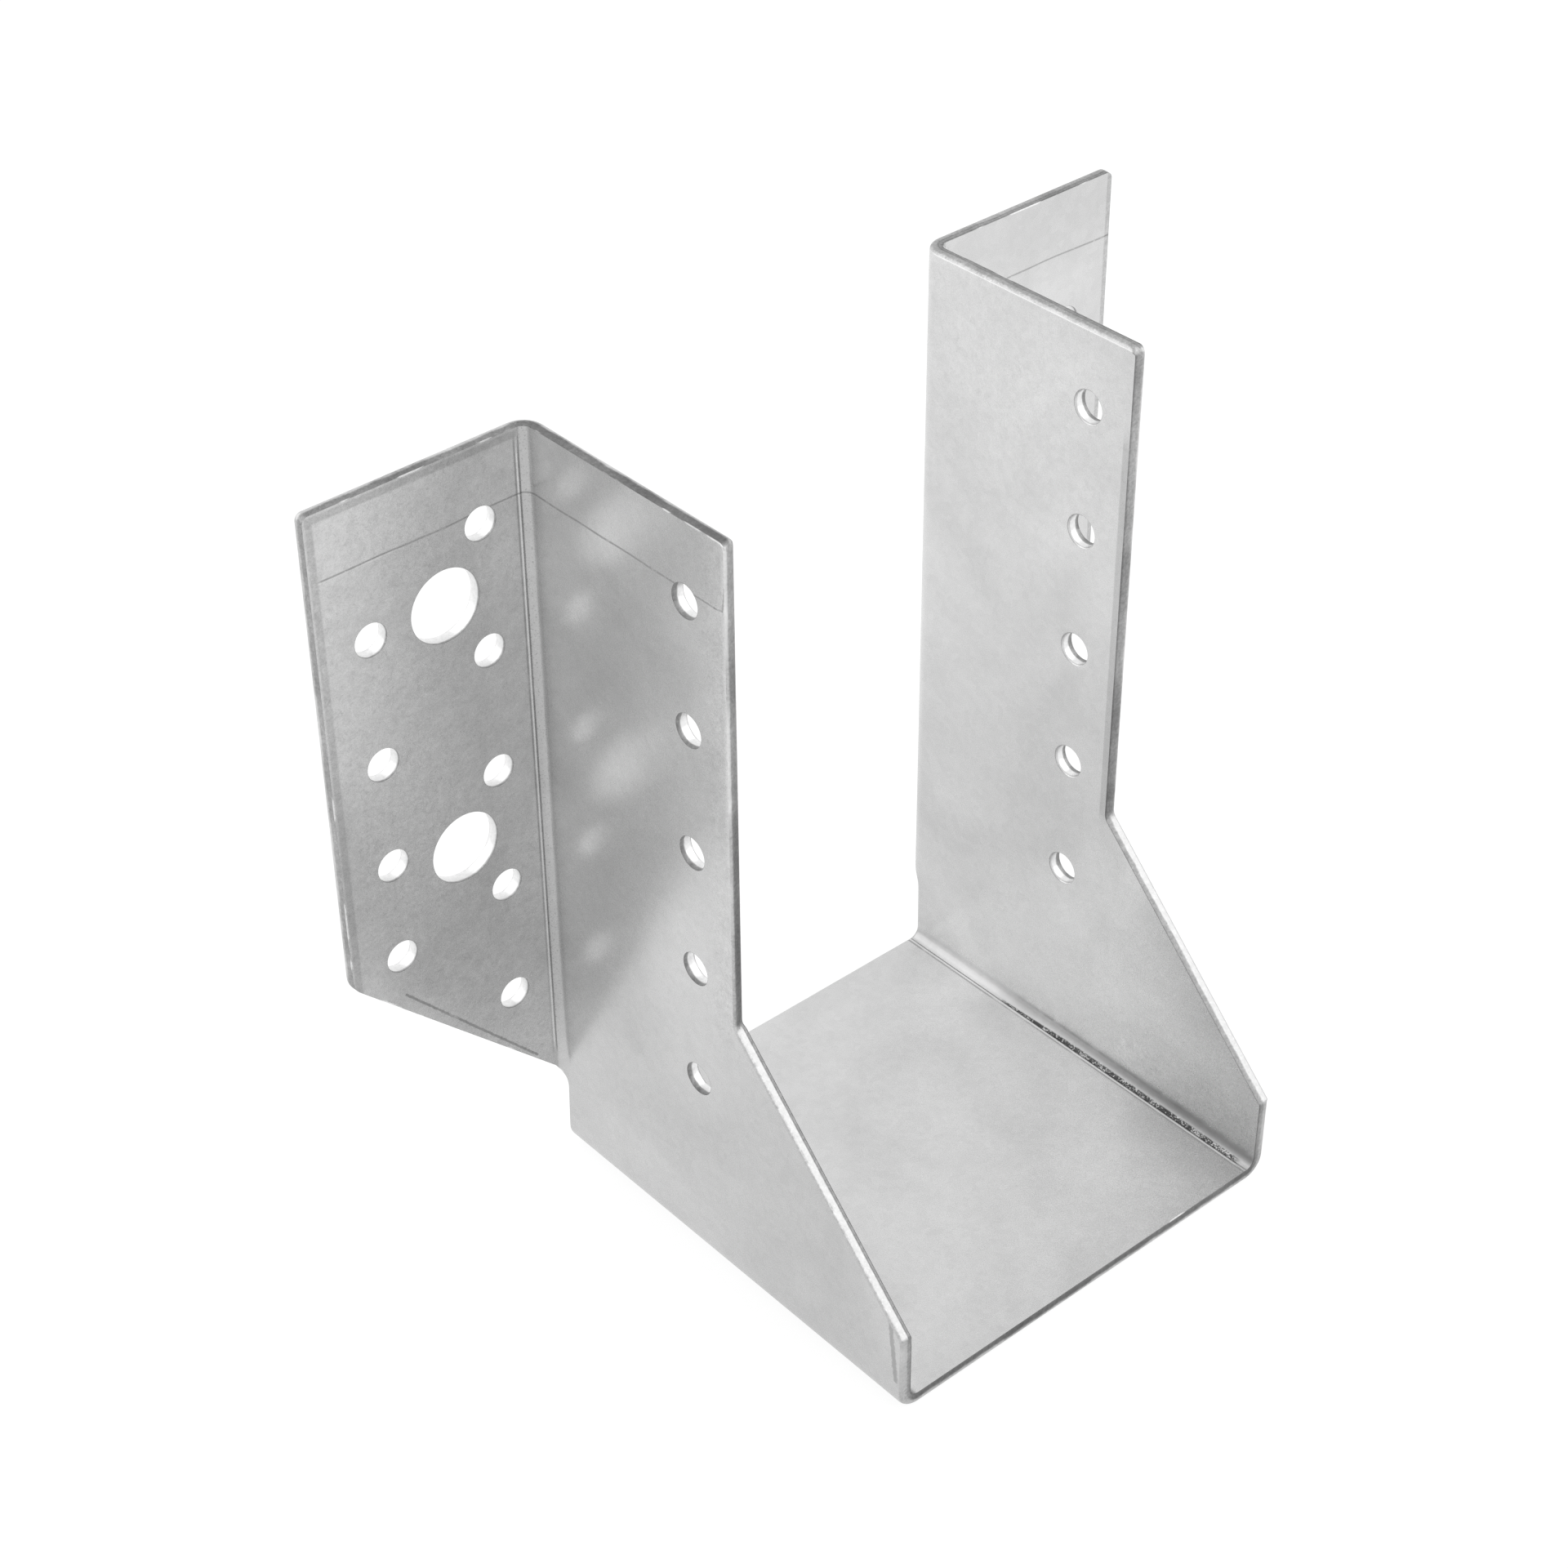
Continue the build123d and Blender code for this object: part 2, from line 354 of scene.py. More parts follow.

# Bright dashes of burr on the lip beside a torn edge's sharp corner, fewer along the seat: the burr's
# glints, painted as highlights.
# The corner itself is bare too, so that its dark band starts there.
row = np.arange(rows)
lipRows = np.where(seatShare > 0.5, rows - 1 - row, row)
burrFrom = edgeLook["burrFrom"] + seatShare * edgeLook["plainBurr"]
burrGlint = (wandering(edgeLook["burrMeans"])[:, None] - burrFrom) * edgeLook["burrSteepness"]
burrGlint = np.clip(burrGlint, 0, 1) * torn
fromLump = np.linalg.norm(path * (-1, 1) - edgeLook["burrLump"], axis=1)[:, None]
burrGlint = np.maximum(burrGlint, np.exp(-(fromLump / edgeLook["lumpReach"]) ** edgeLook["lumpSteepness"]))
tone = tone + burrGlint * (lipRows < edges["ends"]) * (edgeLook["burrHighlight"] - tone)
# How far the bare edge covers the zinc: all of the cut face, and the skins' first row where it is torn.
cover = np.clip((edgeLook["coverInset"] - inset) / edgeLook["coverFade"], 0, 1)
cover = cover * (np.abs(level) < edgeLook["skinLevel"])
cover = np.maximum(cover, (lipRows == edges["ends"] - 1) * (torn + holeShare))
rightShare = kindShare["slantRight"] + kindShare["uprightRight"]
cover = np.maximum(cover, (row == rows - edges["ends"]) * rightShare)
cover = np.maximum(cover, burrGlint * (lipRows == edges["ends"] - 2))
rimFlat = path[:, None, :] + inward[:, None, :] * inset[..., None]
print("rim", rimFlat.shape)

# Marks of the tools on the sheet, in millimetres.
marks = dict(
    scribeHeight=115.8, scribeWidth=0.11, scribeDeep=0.03,
    creaseAt=0.97,          # share of the flange's bend, from the plate
    creaseWidth=0.36, creaseHigh=0.06, creaseLow=19.2, creaseTop=124.4,
    seatCreaseAt=-0.05,     # share of the seat's bend, from the seat
    fade=2,                 # over which a crease ends
    leftSeatFrom=6, leftSeatFade=3,     # where the left seat crease starts, from the seat's front
)
creaseV = bendStart + marks["creaseAt"] * bendLength
creaseU = seatHalf + marks["seatCreaseAt"] * bendLength
scribeU = upPlate(marks["scribeHeight"])

# The inner points of the flats and bends.
inside = dict(
    step=2.2, bendSteps=12, fine=0.1, fineCount=9,
    clear=0.12, apart=0.25,         # least distances from the rings
    parts=60,                       # the points are looked up in as many parts, to save memory
    merge=1e-7,
)


def spaced(stops, near):
    # evenly spaced values between stops, with finer ones beside the marks
    fine, count = inside["fine"], inside["fineCount"]
    values = [np.linspace(a, b, max(2, int(round((b - a) / s)) + 1)) for a, b, s in stops]
    values += [np.linspace(m - fine * count, m + fine * count, 2 * count + 1) for m in near]
    values = np.unique(np.round(np.concatenate(values), 4))
    return values[np.concatenate([[True], np.diff(values) > fine / 2])]


bendFine = bendLength / inside["bendSteps"]
step = inside["step"]
halfU = spaced([
    (0, seatHalf, step), (seatHalf, seatBendEnd, bendFine), (seatBendEnd, upPlate(height), step)],
    (creaseU, scribeU))
gridU = np.concatenate([-halfU[:0:-1], halfU])
gridV = spaced([
    (frontY, bendStart, step), (bendStart, flangeStart, bendFine),
    (flangeStart, outFlange(halfWidth), step)], (creaseV,))
grid = np.stack(np.meshgrid(gridU, gridV, indexing="ij"), -1).reshape(-1, 2)

# An inner point is kept where its nearest point of the edge is far enough off, on the sheet's side.
ringPath = rimFlat[:, 0, :]


def nearestOnRing(places):
    # the nearest point of the rings to each place, and the way from it to the place
    found = []
    for part in np.array_split(places, inside["parts"]):
        found.append(((part[:, None, :] - ringPath[None]) ** 2).sum(-1).argmin(1))
    found = np.concatenate(found)
    return found, places - ringPath[found]


nearest, offset = nearestOnRing(grid)
clear = (offset * inward[nearest]).sum(1) > inside["clear"]
clear &= np.linalg.norm(offset, axis=1) > inside["apart"]
inner = grid[clear]
print("inner points", len(inner))

flatPoints = np.concatenate([ringPath, inner])
ringEdges = np.stack([np.arange(len(path)), following], 1)
cut = delaunay_2d_cdt(flatPoints.tolist(), ringEdges.tolist(), [], 1, inside["merge"])
original = np.array([ids[0] for ids in cut[3]])
triangles = original[np.array(cut[2])]
# a triangle inside a hole has only points of that hole's ring, and its middle lies on the wrong side
middles = flatPoints[triangles].mean(1)
suspects = np.flatnonzero((triangles < len(path)).all(1))
nearest, offset = nearestOnRing(middles[suspects])
keepTriangle = np.ones(len(triangles), bool)
keepTriangle[suspects] = (offset * inward[nearest]).sum(1) > 0
triangles = triangles[keepTriangle]
a, b, c = (flatPoints[triangles[:, i]] for i in range(3))
area = (b - a)[:, 0] * (c - a)[:, 1] - (b - a)[:, 1] * (c - a)[:, 0]
triangles[area < 0] = triangles[area < 0][:, ::-1]
print("triangles on a skin", len(triangles))


def pressed(u, v, n):
    # Height of the tool marks on a skin, inwards, in n. A crease is a ridge between two grooves:
    # (1 - 2 q) exp(-q), where q is the squared distance over the squared width.
    a = np.abs(u)
    high = a - seatBendEnd + bendOutside
    ridge = dict()
    for name, off in (("flange", v - creaseV), ("seat", a - creaseU)):
        q = (off / marks["creaseWidth"]) ** 2
        ridge[name] = marks["creaseHigh"] * (1 - 2 * q) * np.exp(-q)
    fromEnd = np.minimum(high - marks["creaseLow"], marks["creaseTop"] - high)
    fade = np.clip(fromEnd / marks["fade"], 0, 1)
    groove = marks["scribeDeep"] * np.exp(-((a - scribeU) / marks["scribeWidth"]) ** 2) * (v > plateFront)
    # the left one can't be seen in the photograph but for its front end, which is smooth
    leftShare = np.clip((v - frontY - marks["leftSeatFrom"]) / marks["leftSeatFade"], 0, 1)
    ridge["seat"] = ridge["seat"] * np.where(u > 0, 1, leftShare)
    return np.where(n < 0, groove - ridge["flange"] * fade, ridge["seat"])


rimCount = len(path) * rows
rimIndex = np.arange(rimCount).reshape(len(path), rows)
outerInner = rimCount + np.arange(len(inner))
innerInner = outerInner + len(inner)
flat = np.concatenate([rimFlat.reshape(-1, 2), inner, inner])
through = np.concatenate([level.ravel(), np.full(len(inner), -1.0), np.full(len(inner), 1.0)])
onSkins = np.tile([True] + [False] * (rows - 2) + [True], len(path))
isFace = np.concatenate([onSkins, np.full(2 * len(inner), True)])
lift = np.where(isFace, pressed(flat[:, 0], flat[:, 1], through), 0)
points = fold(flat[:, 0], flat[:, 1], through + lift) * toMetres

nextIndex = rimIndex[following]
quads = np.stack([rimIndex[:, :-1], nextIndex[:, :-1], nextIndex[:, 1:], rimIndex[:, 1:]], -1).reshape(-1, 4)
outerSkin = np.concatenate([rimIndex[:, 0], outerInner])[triangles][:, ::-1]
innerSkin = np.concatenate([rimIndex[:, -1], innerInner])[triangles]

mesh = bpy.data.meshes.new("hangerSheet")
faceCount = len(quads) + len(outerSkin) + len(innerSkin)
loopsOf = np.concatenate([quads.ravel(), outerSkin.ravel(), innerSkin.ravel()])
quadStarts, triangleStarts = np.arange(len(quads)) * 4, np.arange(2 * len(triangles)) * 3
starts = np.concatenate([quadStarts, quads.size + triangleStarts])
mesh.vertices.add(len(points))
mesh.vertices.foreach_set("co", points.ravel().astype(np.float32))
mesh.loops.add(len(loopsOf))
mesh.loops.foreach_set("vertex_index", loopsOf.astype(np.int32))
mesh.polygons.add(faceCount)
mesh.polygons.foreach_set("loop_start", starts.astype(np.int32))
mesh.update(calc_edges=True)
mesh.validate()
mesh.polygons.foreach_set("use_smooth", np.ones(len(mesh.polygons), bool))
sharpAngle = 48
mesh.set_sharp_from_angle(angle=radians(sharpAngle))


def keep(name, kind, slotName, values):
    mesh.attributes.new(name, kind, "POINT").data.foreach_set(slotName, values.ravel().astype(np.float32))


noEdge = np.zeros(2 * len(inner))
keep("flatPlace", "FLOAT_VECTOR", "vector", np.column_stack([flat, through]))
keep("edgeTone", "FLOAT", "value", np.concatenate([tone.ravel(), noEdge + edgeLook["plainTone"]]))
keep("edgeCover", "FLOAT", "value", np.concatenate([cover.ravel(), noEdge]))
sheetPiece = bpy.data.objects.new("hanger_sheet", mesh)
bpy.context.scene.collection.objects.link(sheetPiece)
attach(sheetPiece, "root")
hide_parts("hanger")
print("sheet", len(mesh.vertices), "points,", len(mesh.polygons), "faces")


class Signal:
    # a number socket, so that shader maths is written as an expression
    def __init__(self, wiring, socket):
        self.wiring, self.socket = wiring, socket

    def op(self, operation, *others, clamp=False):
        values = [getattr(x, "socket", x) for x in (self,) + others]
        settings = dict(operation=operation, use_clamp=clamp)
        return self.wiring.number("ShaderNodeMath", settings, dict(enumerate(values)))

    def __add__(self, other):
        return self.op("ADD", other)

    def __sub__(self, other):
        return self.op("SUBTRACT", other)

    def __mul__(self, other):
        return self.op("MULTIPLY", other)

    def __truediv__(self, other):
        return self.op("DIVIDE", other)

    def __rsub__(self, other):
        return (self * -1).op("ADD", other)

    __radd__ = __add__
    __rmul__ = __mul__

    def clamped(self):
        return self.op("ADD", 0.0, clamp=True)

    def between(self, low, high):
        # 0 at low, 1 at high, smooth in between
        return self.wiring.number(
            "ShaderNodeMapRange", dict(interpolation_type="SMOOTHSTEP"),
            {"Value": self.socket, "From Min": low, "From Max": high, "To Min": 0.0, "To Max": 1.0})

    def near(self, place, reach):
        # 1 at the place, fading to 0 at the reach on both sides
        return 1 - ((self - place).op("ABSOLUTE") / reach).between(0, 1)


class Wiring:
    # a material's or the world's nodes
    def __init__(self, tree):
        self.tree = tree
        tree.nodes.clear()

    def add(self, kind, settings, inputs):
        node = self.tree.nodes.new(kind)
        for key, value in settings.items():
            setattr(node, key, value)
        for key, value in inputs.items():
            value = getattr(value, "socket", value)
            if isinstance(value, bpy.types.NodeSocket):
                self.tree.links.new(value, node.inputs[key])
            else:
                node.inputs[key].default_value = value
        return node

    def number(self, kind, settings, inputs, output=0):
        return Signal(self, self.add(kind, settings, inputs).outputs[output])

    def noise(self, place, scale, detail=3.0, rough=0.55, distort=0.0):
        return self.number("ShaderNodeTexNoise", {}, {
            "Vector": place, "Scale": scale, "Detail": detail, "Roughness": rough, "Distortion": distort})

    def vector(self, operation, first, second=(0, 0, 0), scale=1.0):
        node = self.add("ShaderNodeVectorMath", dict(operation=operation), {0: first, 1: second, 3: scale})
        if operation in ("DOT_PRODUCT", "LENGTH"):
            return Signal(self, node.outputs["Value"])
        return node.outputs["Vector"]

    def attribute(self, name):
        return self.number("ShaderNodeAttribute", dict(attribute_name=name), {}, "Fac")

    def grey(self, signal):
        channels = {"Red": signal, "Green": signal, "Blue": signal}
        return self.add("ShaderNodeCombineColor", {}, channels).outputs[0]


def newMaterial(name):
    material = bpy.data.materials.new(name)
    material.use_nodes = True
    return material, Wiring(material.node_tree)


# Patterns of the zinc: scale per metre, detail, roughness and distortion.
patterns = dict(
    grain=(1500, 3.0, 0.6, 0.6), fine=(4200, 1.0, 0.5), mottle=(520, 2.0, 0.6, 0.8),
    patches=(150, 3.0, 0.6, 0.4), clouds=(32, 2.0, 0.5, 1.0), specks=(1700, 2.0, 0.7),
    worms=(900, 1.0, 0.5, 0.8), pits=(4300, 1.0, 0.5), blotch=(330, 2.0, 0.6), wobble=(90, 1.0),
)
# How much of each pattern shows, as a part of the full grey range, and how much darker or paler
# each zone of the sheet is, as a part of its tone.
zincLook = dict(
    tone=0.638, grain=0.17, plainGrain=0.04, mottle=0.20, fine=0.035, speckledFine=0.12,
    spangleScale=900, spangle=0.03, patches=0.03, clouds=0.12,
    plainSpecks=0.12, marginSpecks=0.8, rightSpecks=0.4, speckDark=0.12, wormDark=0.10,
    # rightFlangePale is painted light on the right flange's front
    flangePale=0.035, nearCreasePale=0.05, rightFlangePale=0.03, aboveScribePale=0.06,
    marginDark=0.18, rightMarginDark=0.20, marginGrain=0.6,
    # flangeBendTone is painted shade over the flanges' bends, against their highlight
    flangeBendTone=0.79, pitDark=0.30, pitPale=0.15,
    # besideBendDark is painted shade on the left plate beside its flange's bend
    # edgeShadeDark is painted shade beside the right plate's front edge
    # rightPale and rightFrontPale are painted light on the right plate's inner face
    edgeShadeDark=0.2, rightPale=0.04, rightFrontPale=0.10, besideBendDark=0.085,
    # seatBendDark and seatFrontDark are painted shade over the seat bends' highlight, aboveBendPale is
    # painted light
    seatDark=0.015, frontSeatDark=0.07, seatBendDark=0.20, seatFrontDark=0.22, aboveBendPale=0.10,
    # painted shade, mottled, low at the front of the right plate
    lowShadeDark=0.10, lowShadeMottle=0.4, lowShadeGrain=0.4,
)
# Tool creases are a light line between two dark ones: a painted highlight on the pressed ridge and painted
# shade in its grooves. Widths in millimetres.
creaseLook = dict(
    half=0.45, dark=0.42, seatDark=0.5, light=0.07, leastDark=0.5, leastFar=0.4,
    darkReach=0.6, lightReach=0.8, seatApart=0.7,
)
# Dark smudges along the inside of the seat's right bend, in millimetres.
smudgeLook = dict(leastHalf=0.40, growth=0.58, above=0.3, rise=0.6, fullAt=0.5, pits=1.2, dark=0.84)
scribeLook = dict(wobble=0.8, half=0.24, dark=0.42)
edgeZinc = dict(tone=0.95, grain=0.9, fine=0.5, calm=0.65, pitPale=0.10, coverGrain=0.3)
surface = dict(
    rough=0.27, roughGrain=0.05, bendRough=0.10, edgeRough=0.36, markRough=0.2,
    grainHigh=0.003, fineShare=0.5, waveHigh=0.02, pitHigh=0.012, bumpDistance=0.001,
)
seatBendMiddle, seatBendReach, aboveBendReach = 0.56, 0.70, 0.5     # shares of the bend's length

# Zones of the sheet, as the place where each is empty and the place where it is full, in
# millimetres: across the depth where the name ends in V, and up the sheet from the middle of the
# seat where it ends in A.
zones = dict(
    outerSkin=(0.3, -0.3), leftSide=(0.5, -0.5), rightSide=(0, 1),
    flangeV=(flangeStart - 0.8, flangeStart + 0.6),
    nearCreaseV=(flangeStart + 10, flangeStart + 3),
    frontMarginV=(plateFront + 6.5, plateFront + 2.5), frontMarginA=(upPlate(40), upPlate(52)),
    upperRightA=(upPlate(78), upPlate(106)),
    seatA=(seatHalf, seatHalf - 2), seatFrontV=(-15, frontY),
    aboveScribeA=(scribeU - 2, scribeU + 1),
    upBendA=(upPlate(14), upPlate(28)),
    bendV=(bendStart - 0.1, bendStart + 0.6), bendEndV=(creaseV - 0.1, creaseV - 0.5),
    pitsV=(bendStart + 0.2, bendStart + 2.0), pitsEndV=(creaseV, creaseV - 0.4),
    stripV=(plateFront + 1.35, plateFront + 1.05),
    stripFootA=(upPlate(46), upPlate(50)), stripTopA=(upPlate(114), upPlate(110)),
    aboveSeatA=(seatBendEnd, seatBendEnd + 5), rightFrontV=(-2.0, -24.0),
    besideBendV=(6.0, 22.0), besideBendA=(upPlate(20), upPlate(40)),
    creaseFootA=(upPlate(marks["creaseLow"] - 1), upPlate(marks["creaseLow"] + 1)),
    creaseTopA=(upPlate(marks["creaseTop"] + 1), upPlate(marks["creaseTop"] - 1)),
    farLineA=(upPlate(30), upPlate(60)), seatBendFrontV=(18.0, 10.0),
    leftSeatCreaseV=tuple(frontY + marks["leftSeatFrom"] + s for s in (0, marks["leftSeatFade"])),
    smudgeRearV=(15.5, 12.0), smudgeFrontV=(frontY + 1.5, frontY + 3.5), smudgeGrowsV=(16.0, -4.0),
    lowShadeV=(0.0, -14.0), lowShadeA=(seatBendEnd + 13, seatBendEnd + 1),
    scribeV=(plateFront + 1.2, plateFront + 2.4),
)
# The same, as distances in from a flange's free edge or top.
fromEdge = dict(
    marginStart=(0.3, 0.6), marginEnd=(1.75, 1.35), pastMargin=(1.35, 1.75),
    rightMargin=(1.1, 0.8), scribeEnd=(2.2, 1.3),
)
# The same, as values of a pattern.
cuts = dict(
    specks=(0.60, 0.72), worms=(0.0, 0.05), speckPatches=(0.35, 0.6), wormClouds=(0.4, 0.55),
    darkPits=(0.40, 0.28), palePits=(0.62, 0.75), creasePatches=(0.3, 0.5),
    smudge=(0.28, 0.50), scribeGrain=(0.2, 0.5), strokePatches=(0.28, 0.5),
    edgeTone=(0.50, 0.56), edgePits=(0.64, 0.76), coverEdge=(0.02, 0.4), cover=(0.3, 0.7),
)
# Scratches and dashes: both ends on the flat sheet, half width and how dark, in millimetres.
hookTop, hookFoot, hookEnd = (119.4, -3.8), (116.0, -3.35), (115.8, -1.8)
strokes = dict(
    hookUp=dict(ends=[(-upPlate(z), v) for z, v in (hookTop, hookFoot)], half=0.13, dark=0.30),
    hookAlong=dict(ends=[(-upPlate(z), v) for z, v in (hookFoot, hookEnd)], half=0.13, dark=0.25),
    flangeDashes=dict(
        ends=[(-upPlate(z), outFlange(x)) for x, z in ((63.5, 44.0), (41.8, 20.2))], half=0.17, dark=0.42),
    toeStreak=dict(ends=[(-upPlate(z), v) for z, v in ((17.5, -35.6), (6.0, -37.0))], half=0.36, dark=0.32),
)
strokeEdge = dict(ragged=2.2, empty=1.5, full=0.7)     # in half widths


class SheetSignals:
    # places on the flat sheet, patterns and zones that several layers of the zinc share
    def __init__(self, w):
        self.w = w
        self.place = w.add("ShaderNodeTexCoord", {}, {}).outputs["Object"]
        flatPlace = w.add("ShaderNodeAttribute", dict(attribute_name="flatPlace"), {}).outputs["Vector"]
        parts = w.add("ShaderNodeSeparateXYZ", {}, {0: flatPlace})
        u, v, n = (Signal(w, parts.outputs[i]) for i in range(3))
        self.v, self.a = v, u.op("ABSOLUTE")
        self.flatUv = w.add("ShaderNodeCombineXYZ", {}, {"X": u, "Y": v}).outputs[0]
        self.outer = n.between(*zones["outerSkin"])
        self.inner = 1 - self.outer
        self.left = u.between(*zones["leftSide"])
        self.right = u.between(*zones["rightSide"])
        self.grain, self.fine, self.mottle, self.patches, self.clouds, self.pits = (
            self.pattern(name) for name in ("grain", "fine", "mottle", "patches", "clouds", "pits"))
        self.leftFlange = self.left * self.outer * self.along("flangeV")
        self.rightInside = self.inner * self.right * self.up("aboveSeatA")
        self.inFromEdge = (outFlange(halfWidth) - v).op("MINIMUM", upPlate(height) - self.a)

    def pattern(self, name):
        return self.w.noise(self.place, *patterns[name])

    def along(self, zone):
        return self.v.between(*zones[zone])

    def up(self, zone):
        return self.a.between(*zones[zone])


def zincTone(s):
    # the plain zinc, with specks where it is rough: the left flange and parts of both plates
    look = zincLook
    cells = s.w.add("ShaderNodeTexVoronoi", dict(feature="F1"), {
        "Vector": s.place, "Scale": look["spangleScale"]})
    spangle = s.w.number("ShaderNodeSeparateColor", {}, {0: cells.outputs["Color"]})
    frontMargin = s.left * s.outer * s.along("frontMarginV") * s.up("frontMarginA")
    upperRight = s.inner * s.right * s.up("upperRightA")
    speckled = s.leftFlange + frontMargin * look["marginSpecks"] + upperRight * look["rightSpecks"]
    speckled = speckled.clamped()
    speckled = look["plainSpecks"] + speckled * (1 - look["plainSpecks"])
    specks = s.pattern("specks").between(*cuts["specks"])
    worms = 1 - (s.pattern("worms") - 0.5).op("ABSOLUTE").between(*cuts["worms"])
    tone = look["tone"] + (s.grain - 0.5) * (look["grain"] * (look["plainGrain"] + speckled))
    tone = tone + (s.fine - 0.5) * (look["fine"] + speckled * look["speckledFine"])
    tone = tone + (s.mottle - 0.5) * (look["mottle"] * speckled)
    tone = tone + s.leftFlange * (look["flangePale"] + s.along("nearCreaseV") * look["nearCreasePale"])
    onSeat = s.inner * s.up("seatA")
    tone = tone * (1 - onSeat * (look["seatDark"] + s.along("seatFrontV") * look["frontSeatDark"]))
    tone = tone + (s.patches - 0.5) * (2 * look["patches"]) + (s.clouds - 0.5) * (2 * look["clouds"])
    tone = tone + (spangle - 0.5) * look["spangle"]
    tone = tone * (1 - specks * speckled * look["speckDark"] * s.patches.between(*cuts["speckPatches"]))
    return tone * (1 - worms * speckled * look["wormDark"] * s.clouds.between(*cuts["wormClouds"]))


def flangeFactors(s):
    # darker margins inside the flanges' edges, a paler band over the left one's scribed line, and the right
    # flange paler as painted light
    look = zincLook
    margin = s.leftFlange
    for cut in ("marginEnd", "marginStart"):
        margin = margin * s.inFromEdge.between(*fromEdge[cut])
    roughMargin = (s.grain - 0.5) * look["marginGrain"]
    factor = 1 - margin * (look["marginDark"] + roughMargin)
    # painted light: the right flange's front is paler
    onRight = s.outer * (1 - s.left)
    factor = factor * (1 + onRight * s.along("flangeV") * look["rightFlangePale"])
    rightMargin = onRight * (outFlange(halfWidth) - s.v).between(*fromEdge["rightMargin"])
    factor = factor * (1 - rightMargin * (look["rightMarginDark"] + roughMargin))
    aboveScribe = s.leftFlange * s.up("aboveScribeA") * s.inFromEdge.between(*fromEdge["pastMargin"])
    return factor * (1 + aboveScribe * look["aboveScribePale"])


def plateFactors(s, pitted):
    # the flanges' bends, darkened as painted shade, and the pits on them, and the plates' painted light and
    # painted shade
    look = zincLook
    # painted shade over the flanges' bends, against their highlight
    onBend = s.along("bendV") * s.along("bendEndV") * s.outer * s.up("upBendA")
    factor = 1 - onBend * (1 - look["flangeBendTone"])
    darkPits = s.pits.between(*cuts["darkPits"]) * look["pitDark"]
    palePits = s.pits.between(*cuts["palePits"]) * look["pitPale"]
    factor = factor * (1 - pitted * (darkPits - palePits))
    # painted shade in a strip beside the right plate's front edge
    edgeShade = s.inner * s.right * s.along("stripV") * s.up("stripFootA") * s.up("stripTopA")
    factor = factor * (1 - edgeShade * look["edgeShadeDark"])
    # painted light: the right plate's inner face is a little paler, most of all towards the front
    paler = look["rightPale"] + s.along("rightFrontV") * look["rightFrontPale"]
    factor = factor * (1 + s.rightInside * paler)
    # painted shade: the left plate is darker towards its flange's bend
    besideBend = s.outer * s.left * s.along("besideBendV") * s.up("besideBendA")
    return factor * (1 - besideBend * look["besideBendDark"])


def withCreases(s, tone):
    # the creases' light line is a painted highlight and their dark lines are painted shade
    look = creaseLook
    half = look["half"]
    upFlange = s.outer * s.up("creaseFootA") * s.up("creaseTopA")
    broken = s.patches.between(*cuts["creasePatches"]) * (1 - look["leastDark"]) + look["leastDark"]
    farShare = look["leastFar"] + s.up("farLineA") * (1 - look["leastFar"])
    nearLine, farLine = (s.v.near(creaseV + side * half, half * look["darkReach"]) for side in (-1, 1))
    flangeDark = upFlange * (nearLine + farLine * farShare)
    # the left seat crease can't be seen but for its front end, which is smooth
    seatShown = s.inner * (s.right + s.along("leftSeatCreaseV")).clamped()
    lower, upper = (
        s.a.near(creaseU + side * half * look["seatApart"], half * look["darkReach"]) for side in (-1, 1))
    seatDark = seatShown * (lower + upper)
    light = upFlange * s.v.near(creaseV, half * look["lightReach"])
    light = light + seatShown * s.a.near(creaseU, half * look["darkReach"])
    dark = (flangeDark * look["dark"] + seatDark * look["seatDark"]) * broken
    return tone * (1 - dark) + light * look["light"]


def smudged(s):
    # blotches that start on the crease and reach higher towards the front
    look = smudgeLook
    halfHigh = look["leastHalf"] + s.along("smudgeGrowsV") * look["growth"]
    middle = creaseU + look["above"] + halfHigh * look["rise"]
    high = ((s.a - middle).op("ABSOLUTE") / halfHigh).between(1.0, look["fullAt"])
    blotches = (s.pattern("blotch") + (s.pits - 0.5) * look["pits"]).between(*cuts["smudge"])
    return s.inner * s.right * s.along("smudgeRearV") * s.along("smudgeFrontV") * high * blotches


def seatBendFactors(s, onSeatBend, smudge):
    # the inside of the seat's bends, darker as painted shade over their highlight and most at the front,
    # painted light above them, and painted shade, mottled, low on the right plate over the right one
    look = zincLook
    # painted shade over the bends' highlight, most at the front
    factor = 1 - onSeatBend * (look["seatBendDark"] + s.along("seatBendFrontV") * look["seatFrontDark"])
    # painted light along the bends' upper edge
    aboveBend = s.inner * s.a.near(seatBendEnd, aboveBendReach * bendLength)
    factor = factor * (1 + aboveBend * look["aboveBendPale"]) * (1 - smudge * smudgeLook["dark"])
    # painted shade, mottled, low at the front of the right plate, just above the seat's bend
    lowShade = look["lowShadeDark"] + (s.mottle - 0.5) * look["lowShadeMottle"] + (s.grain - 0.5) * look["lowShadeGrain"]
    return factor * (1 - s.rightInside * s.up("lowShadeA") * s.along("lowShadeV") * lowShade)


